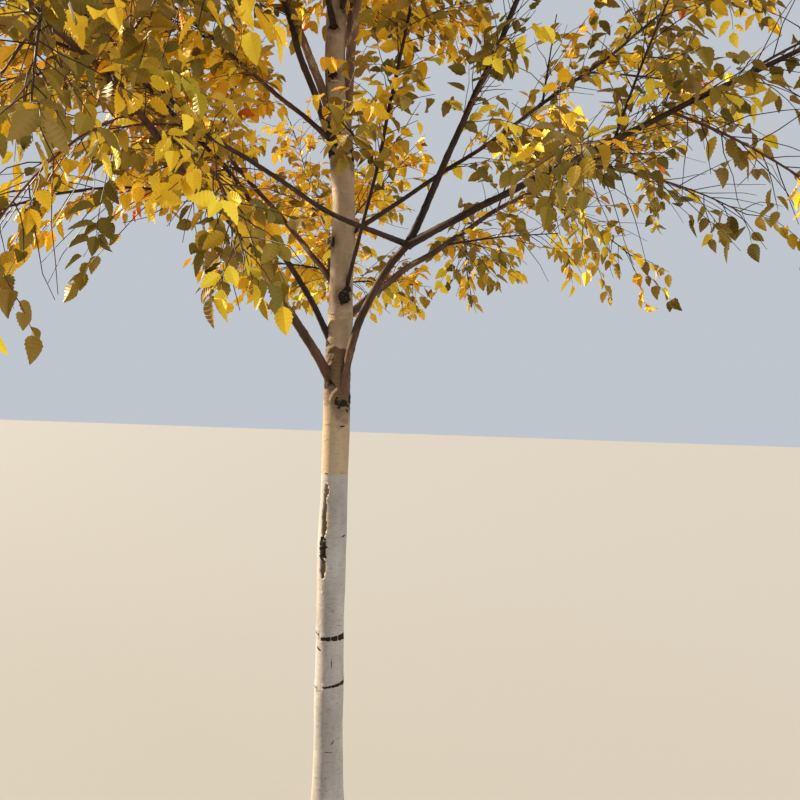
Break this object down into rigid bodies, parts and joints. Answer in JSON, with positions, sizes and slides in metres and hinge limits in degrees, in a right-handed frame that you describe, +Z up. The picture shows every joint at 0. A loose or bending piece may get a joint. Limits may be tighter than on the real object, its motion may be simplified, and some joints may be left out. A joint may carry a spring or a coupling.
{
  "type": "silver birch tree",
  "caption": "Young white-barked birch in autumn leaf: slender tapering trunk with a flared foot, rising boughs and an open crown of golden leafy twigs, cut flat at the ground.",
  "frame": {"origin": "centre of the flat cut under the trunk, at ground level", "axes": "+Z up along the trunk, -Y towards the viewer of the picture, +X to the viewer's right"},
  "size_m": [4.2113, 4.6485, 7.0019],
  "materials": {
    "white_bark": "satin",
    "bough_bark": "matte",
    "leaves_gold": "satin",
    "leaves_ochre": "satin",
    "leaves_olive": "satin"
  },
  "bodies": {
    "root": {"trunk": "white_bark", "bough_right_low": "bough_bark", "bough_right_riser": "bough_bark", "bough_right_reach": "bough_bark", "bough_front_cross": "bough_bark", "bough_left_low": "bough_bark", "bough_back_low": "bough_bark", "bough_left_mid": "bough_bark", "bough_back_right": "bough_bark", "bough_front_right": "bough_bark", "bough_back_left": "bough_bark", "bough_right_mid": "bough_bark", "bough_left_whorl": "bough_bark", "bough_right_leader": "bough_bark", "bough_left_upper": "bough_bark", "bough_left_leader": "bough_bark", "bough_back_whorl": "bough_bark", "bough_front_upper": "bough_bark", "foliage_right_riser": "leaves_gold", "foliage_right_reach": "leaves_ochre", "foliage_front_cross": "leaves_olive", "foliage_left_low": "leaves_gold", "foliage_back_low": "leaves_ochre", "foliage_left_mid": "leaves_olive", "foliage_back_right": "leaves_gold", "foliage_front_right": "leaves_ochre", "foliage_back_left": "leaves_olive", "foliage_right_mid": "leaves_gold", "foliage_left_whorl": "leaves_ochre", "foliage_right_leader": "leaves_olive", "foliage_left_upper": "leaves_gold", "foliage_left_leader": "leaves_ochre", "foliage_back_whorl": "leaves_olive", "foliage_front_upper": "leaves_gold", "foliage_high_1": "leaves_ochre", "foliage_high_2": "leaves_olive", "foliage_high_3": "leaves_gold", "foliage_high_4": "leaves_ochre", "foliage_high_5": "leaves_olive", "foliage_high_6": "leaves_gold", "foliage_high_7": "leaves_ochre", "foliage_high_8": "leaves_olive", "foliage_high_9": "leaves_gold", "foliage_high_10": "leaves_ochre", "foliage_leader": "leaves_olive"}
  },
  "joints": []
}
